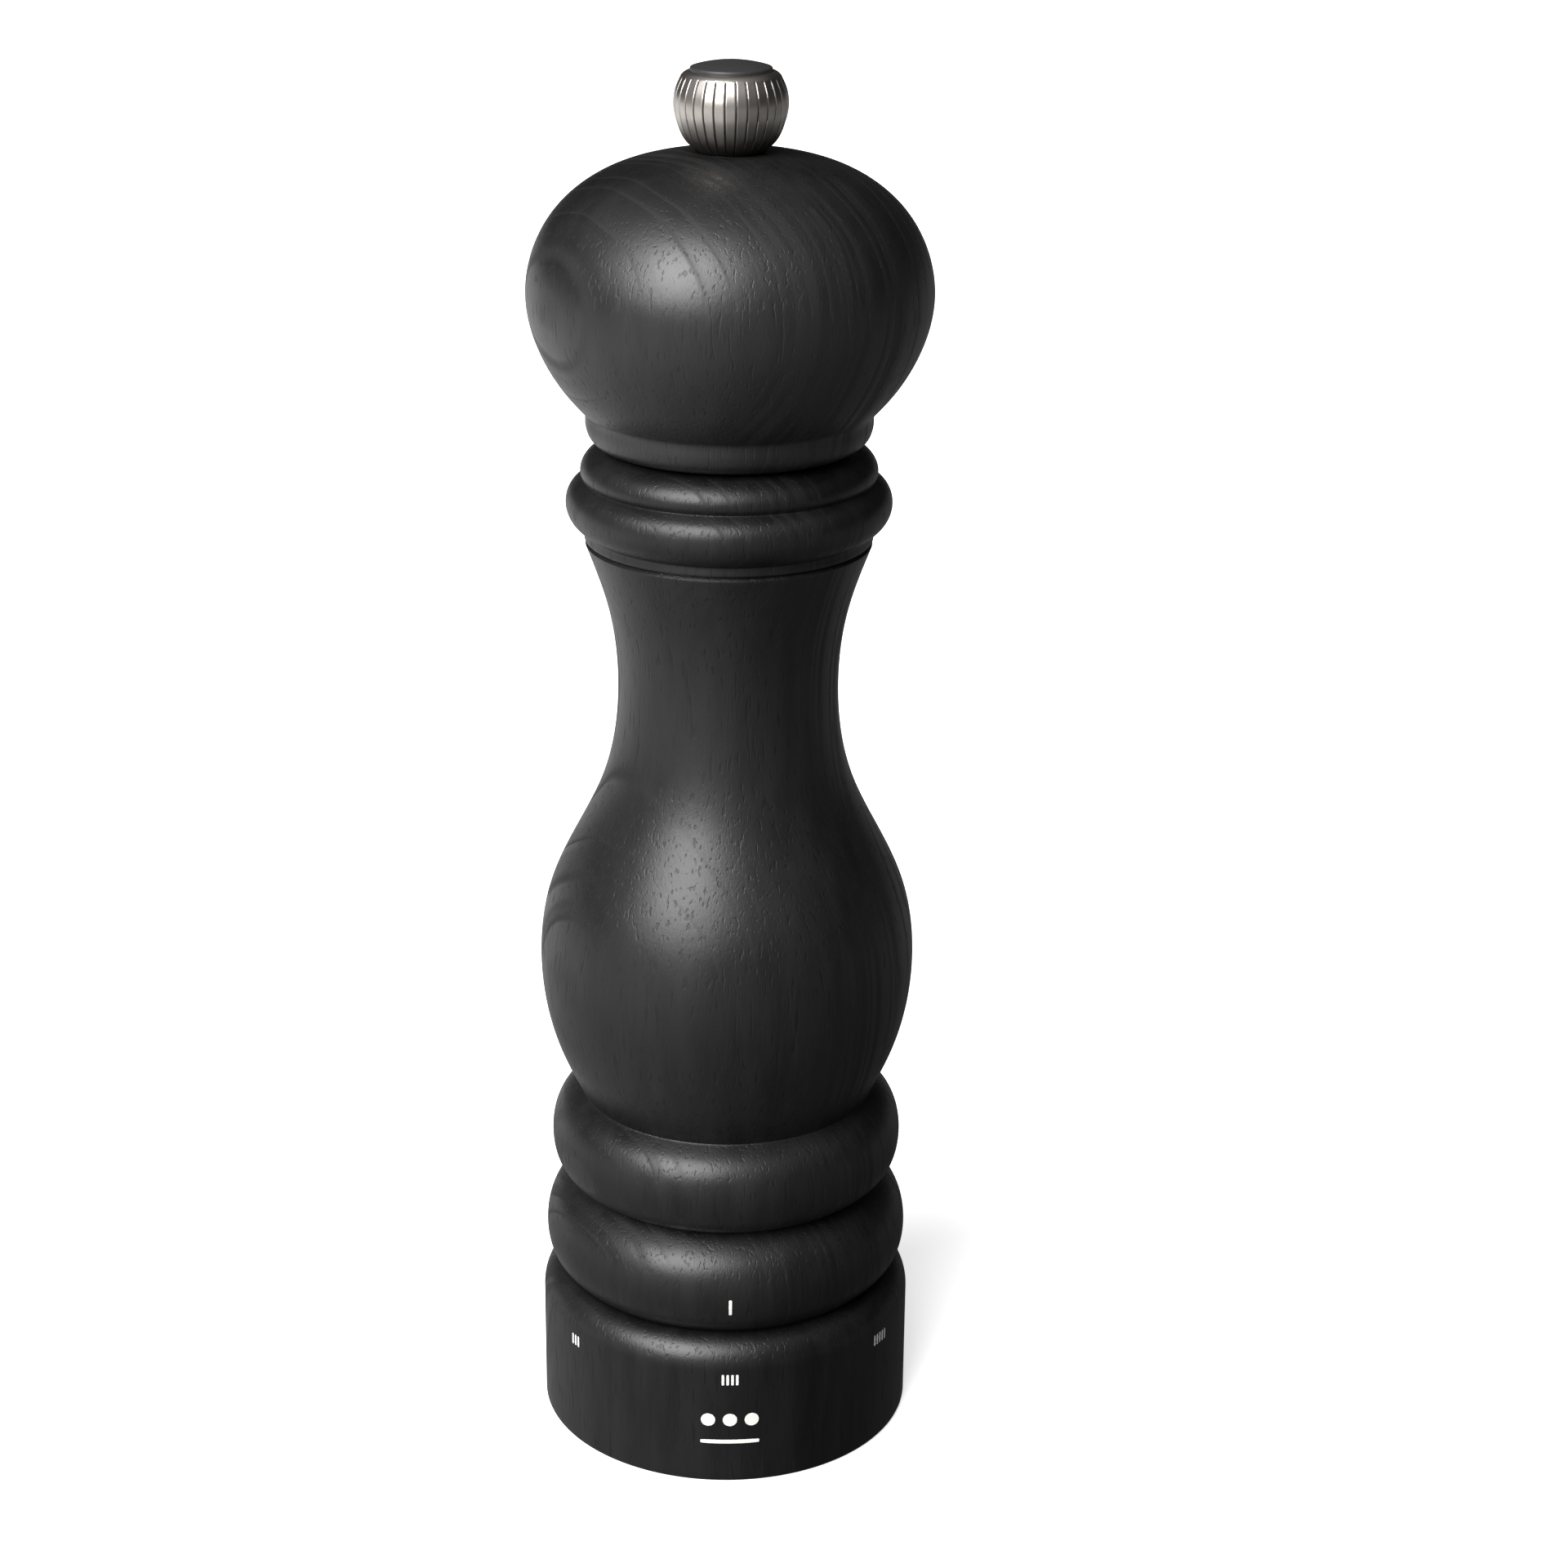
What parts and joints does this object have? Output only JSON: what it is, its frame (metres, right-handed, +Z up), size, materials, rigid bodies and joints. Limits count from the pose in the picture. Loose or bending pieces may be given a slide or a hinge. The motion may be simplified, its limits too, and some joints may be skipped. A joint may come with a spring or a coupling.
{
  "type": "pepper mill",
  "caption": "Turned wooden pepper mill with ball head, ribbed metal knob and a grind selector ring at its foot.",
  "frame": {"origin": "centre of the base ring's underside, on the surface the mill stands on", "axes": "+Z up along the spindle, towards the knob; -Y faces the index mark on the body"},
  "size_m": [0.0612, 0.0612, 0.2216],
  "materials": {
    "dark_wood": "black stained beech, satin lacquer",
    "knob_metal": "antique pewter plating, polished ribs",
    "cap_black": "matt black",
    "steel": "bright drawn steel",
    "grinder_steel": "case-hardened, dark satin",
    "black_plastic": "moulded, fine spark texture",
    "nylon": "natural nylon",
    "zinc": "die-cast zinc",
    "brass": "turned"
  },
  "bodies": {
    "body": {"body_shell": "dark_wood", "mechanism_housing": "black_plastic", "housing_screws": "steel", "guide_plate": "zinc", "guide_plate_screws": "steel", "adjuster_circlip": "steel"},
    "adjuster": {"base_ring": "dark_wood", "adjuster_sleeve": "black_plastic"},
    "crown_slide": {"crown_carrier": "black_plastic", "female_crown": "grinder_steel", "crown_retainer": "steel"},
    "spindle_drive": {"spindle": "steel", "male_grinder": "grinder_steel", "grinder_nut": "steel", "spindle_bush": "nylon", "spindle_clip": "steel", "spindle_spring": "steel"},
    "head": {"head_shell": "dark_wood", "drive_plate": "steel", "drive_plate_screws": "steel"},
    "washer": {"knob_washer": "steel"},
    "knob_turner": {"knob": "knob_metal", "knob_cap": "cap_black", "knob_insert": "brass"}
  },
  "joints": [
    {"name": "grind_setting", "type": "hinge", "parent": "body", "child": "adjuster", "pos_m": [0, 0, 0], "axis": [0, 0, 1], "range_deg": [-110, 165]},
    {"name": "crown_rise", "type": "slide", "parent": "body", "child": "crown_slide", "axis": [0, 0, 1], "range_m": [-0.00145, 0.00097]},
    {"name": "spindle_turn", "type": "hinge", "parent": "body", "child": "spindle_drive", "pos_m": [0, 0, 0], "axis": [0, 0, 1], "continuous": true},
    {"name": "head_lift", "type": "slide", "parent": "spindle_drive", "child": "head", "axis": [0, 0, 1], "range_m": [0, 0.06]},
    {"name": "knob_rise", "type": "slide", "parent": "head", "child": "washer", "axis": [0, 0, 1], "range_m": [0, 0.008]},
    {"name": "knob_turn", "type": "hinge", "parent": "washer", "child": "knob_turner", "pos_m": [0, 0, 0.2084], "axis": [0, 0, 1], "range_deg": [-60, 3660]}
  ],
  "couplings": [
    {"joint": "crown_rise", "follows": "grind_setting", "m_per_rad": -0.00050004},
    {"joint": "knob_turn", "follows": "knob_rise", "rad_per_m": 7854}
  ]
}
